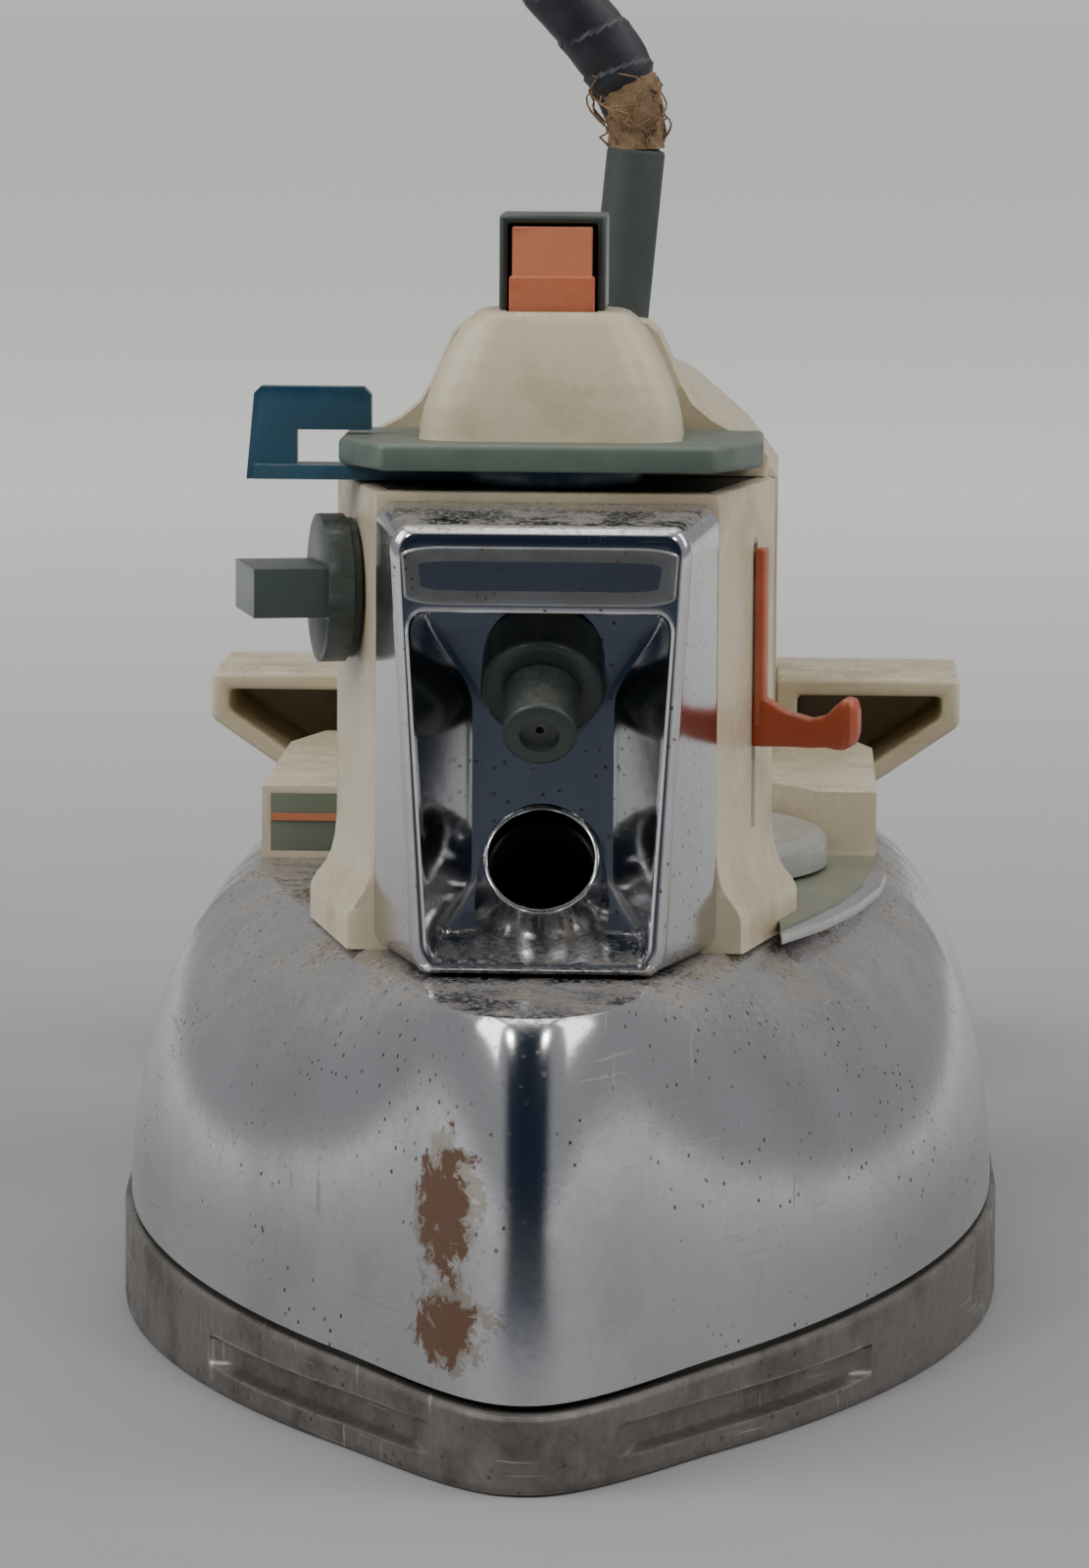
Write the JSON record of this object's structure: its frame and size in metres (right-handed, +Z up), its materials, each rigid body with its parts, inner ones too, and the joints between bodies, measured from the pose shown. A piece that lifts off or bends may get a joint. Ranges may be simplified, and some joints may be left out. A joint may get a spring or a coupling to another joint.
{
  "type": "clothes iron",
  "caption": "Steam and spray iron with a chrome hull on an aluminium soleplate, a cream handle, a spray button, side controls and a dial.",
  "frame": {"origin": "centre of the iron's plan at the soleplate's working face, on the surface it stands on", "axes": "+Z up, +Y from the nose to the heel, +X to the iron's left side as seen from its nose looking at the heel, with the nose at -Y"},
  "size_m": [0.111, 0.3482, 0.2055],
  "materials": {
    "aluminium_sole": "dull, oxidised cast aluminium",
    "heater_steel": "heat-darkened steel tube",
    "bright_steel": "bright drawn steel",
    "rubber_seal": "matte heat-proof seal",
    "chrome": "worn chrome plate with pitting and dust",
    "tank_plastic": "plain natural plastic",
    "brass_fitting": "turned brass",
    "dark_green_plastic": "satin dark green moulding",
    "cream_plastic": "satin cream moulding with grime",
    "black_plastic": "black moulding",
    "grey_green_plastic": "satin grey-green moulding",
    "orange_plastic": "satin orange moulding",
    "grey_plastic": "plain grey plastic",
    "teal_plastic": "satin teal moulding",
    "spindle_steel": "plated steel",
    "green_label": "printed green panel",
    "silver_trim": "satin silver plate",
    "dial_plastic": "worn grey moulding",
    "thermostat_resin": "brown moulding compound",
    "sleeve_rubber": "green-grey rubber sleeve",
    "cord_braid": "frayed cotton braid",
    "tape": "wrapped insulating tape",
    "cord_cover": "dark flexible cover"
  },
  "bodies": {
    "iron": {"soleplate": "aluminium_sole", "heating_element": "heater_steel", "element_terminals": "bright_steel", "steam_chamber_cover": "aluminium_sole", "sole_gasket": "rubber_seal", "chrome_shell": "chrome", "water_tank": "tank_plastic", "tank_lid": "tank_plastic", "drip_seat": "brass_fitting", "fill_tube": "chrome", "fascia": "chrome", "spray_nozzle": "dark_green_plastic", "nozzle_tip": "dark_green_plastic", "spray_pipe": "tank_plastic", "front_column": "cream_plastic", "gap_plate": "black_plastic", "top_plate": "grey_green_plastic", "button_dome": "cream_plastic", "button_guard": "dark_green_plastic", "pump_cylinder": "tank_plastic", "pump_spring": "bright_steel", "suction_tube": "tank_plastic", "lever_collar": "grey_plastic", "needle_seat": "brass_fitting", "slider_guide": "tank_plastic", "handle_grip": "cream_plastic", "rear_post": "cream_plastic", "rear_block": "cream_plastic", "index_label": "green_label", "index_line": "orange_plastic", "heel_rest": "cream_plastic", "rear_cover": "cream_plastic", "saddle_plate": "silver_trim", "saddle_inlay": "green_label", "thermostat_body": "thermostat_resin", "bimetal_blade": "brass_fitting", "terminal_block": "black_plastic", "cord_clamp": "spindle_steel", "cord_sleeve": "sleeve_rubber", "sole_screws": "spindle_steel", "cover_screws": "spindle_steel", "column_screws": "spindle_steel", "heel_screws": "spindle_steel", "frayed_braid": "cord_braid", "tape_wrap": "tape", "cord": "cord_cover", "cord_coil": "cord_cover", "plug_body": "black_plastic", "plug_pins": "bright_steel"},
    "spray_plunger": {"spray_button": "orange_plastic", "pump_piston": "grey_plastic"},
    "lever": {"selector_lever": "teal_plastic"},
    "flow_spindle": {"flow_knob": "dark_green_plastic", "knob_shaft": "spindle_steel"},
    "needle": {"valve_needle": "brass_fitting"},
    "steam_slide": {"steam_slider": "orange_plastic", "steam_rod": "tank_plastic"},
    "dial": {"thermostat_dial": "dial_plastic", "thermostat_stem": "spindle_steel"}
  },
  "joints": [
    {"name": "button_press", "type": "slide", "parent": "iron", "child": "spray_plunger", "axis": [0, 0, -1], "range_m": [0, 0.005], "stiffness_N_per_m": 400, "springref_m": -0.002, "deforming": ["pump_spring"]},
    {"name": "lever_swing", "type": "hinge", "parent": "iron", "child": "lever", "pos_m": [0, -0.042, 0.107], "axis": [0, 0, 1], "range_deg": [0, 70]},
    {"name": "knob_turn", "type": "hinge", "parent": "iron", "child": "flow_spindle", "pos_m": [-0.02356, -0.041, 0.0934], "axis": [-0.973, -0.2306, 0], "range_deg": [-65, 65]},
    {"name": "needle_feed", "type": "slide", "parent": "iron", "child": "needle", "axis": [-0.973, -0.2306, 0], "range_m": [-0.00052, 0.00052]},
    {"name": "steam_slide_move", "type": "slide", "parent": "iron", "child": "steam_slide", "axis": [0, 0, 1], "range_m": [-0.009, 0.004]},
    {"name": "dial_turn", "type": "hinge", "parent": "iron", "child": "dial", "pos_m": [0.004, 0.011, 0.056], "axis": [0, 0, 1], "range_deg": [0, 270]}
  ],
  "couplings": [
    {"joint": "knob_turn", "follows": "needle_feed", "rad_per_m": 2000}
  ]
}
